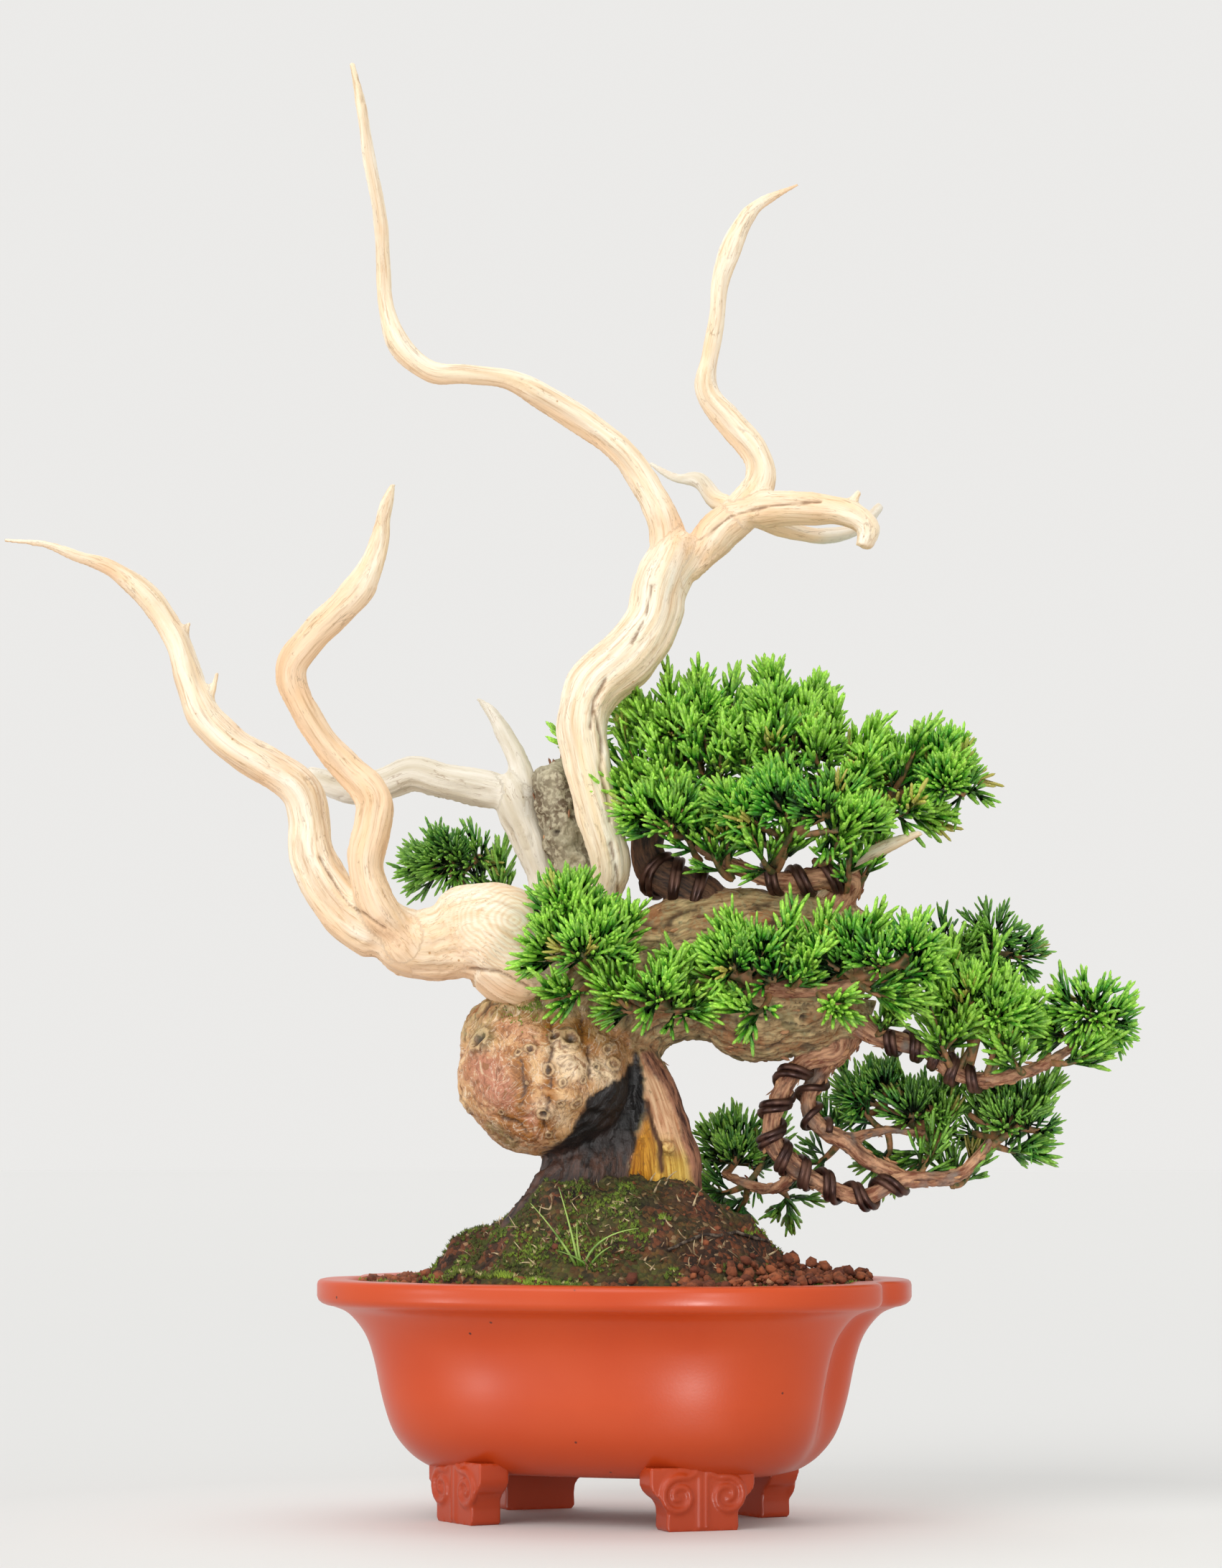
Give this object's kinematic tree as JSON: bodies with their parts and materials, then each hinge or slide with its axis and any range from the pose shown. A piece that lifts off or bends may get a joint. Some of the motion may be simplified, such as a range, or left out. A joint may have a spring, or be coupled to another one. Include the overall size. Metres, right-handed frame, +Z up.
{
  "type": "chinese juniper bonsai in a clay pot",
  "caption": "Chinese juniper bonsai with tall bleached deadwood limbs, a burled trunk, wired branches and green sprays, standing in a footed lobed oval clay pot.",
  "frame": {"origin": "middle of the footprint of the whole object's box, on the surface that the pot's feet stand on", "axes": "+Z up, X along the pot's long side with the low wired branches towards +X, -Y towards the pot's front"},
  "size_m": [0.2946, 0.1422, 0.4086],
  "materials": {
    "clay": "unglazed burnt-orange clay with a soft sheen",
    "drain_mesh": "black plastic mesh",
    "soil": "damp dark soil with grains and moss",
    "bark": "flaking reddish-brown bark",
    "bleached_wood": "bare wood, bleached cream",
    "grey_wood": "bare wood, weathered pale grey",
    "wire": "dark brown anodised wire",
    "shoots": "waxy green scale leaves",
    "shaded_shoots": "waxy dark green scale leaves"
  },
  "bodies": {
    "root": {"pot": "clay", "drain_screen_1": "drain_mesh", "drain_screen_2": "drain_mesh", "soil": "soil", "live_trunk": "bark", "apex_jin": "bleached_wood", "twin_jin": "bleached_wood", "back_jin": "grey_wood", "side_jin": "bleached_wood", "wire_upper": "wire", "wire_under": "wire", "wire_left_strand": "wire", "wire_right_strand": "wire", "wire_right": "wire", "spray_back_left": "shaded_shoots", "spray_back_tips": "shaded_shoots", "spray_far_right": "shoots", "spray_left_front": "shoots", "spray_left_low": "shoots", "spray_left_upper": "shoots", "spray_low_left": "shaded_shoots", "spray_low_middle": "shaded_shoots", "spray_low_right": "shaded_shoots", "spray_middle": "shoots", "spray_middle_left": "shoots", "spray_right": "shoots", "spray_right_back": "shaded_shoots", "spray_top_back": "shoots", "spray_top_centre": "shoots", "spray_top_front": "shoots", "spray_top_front_left": "shoots", "spray_top_left": "shoots", "spray_top_right": "shoots"}
  },
  "joints": []
}
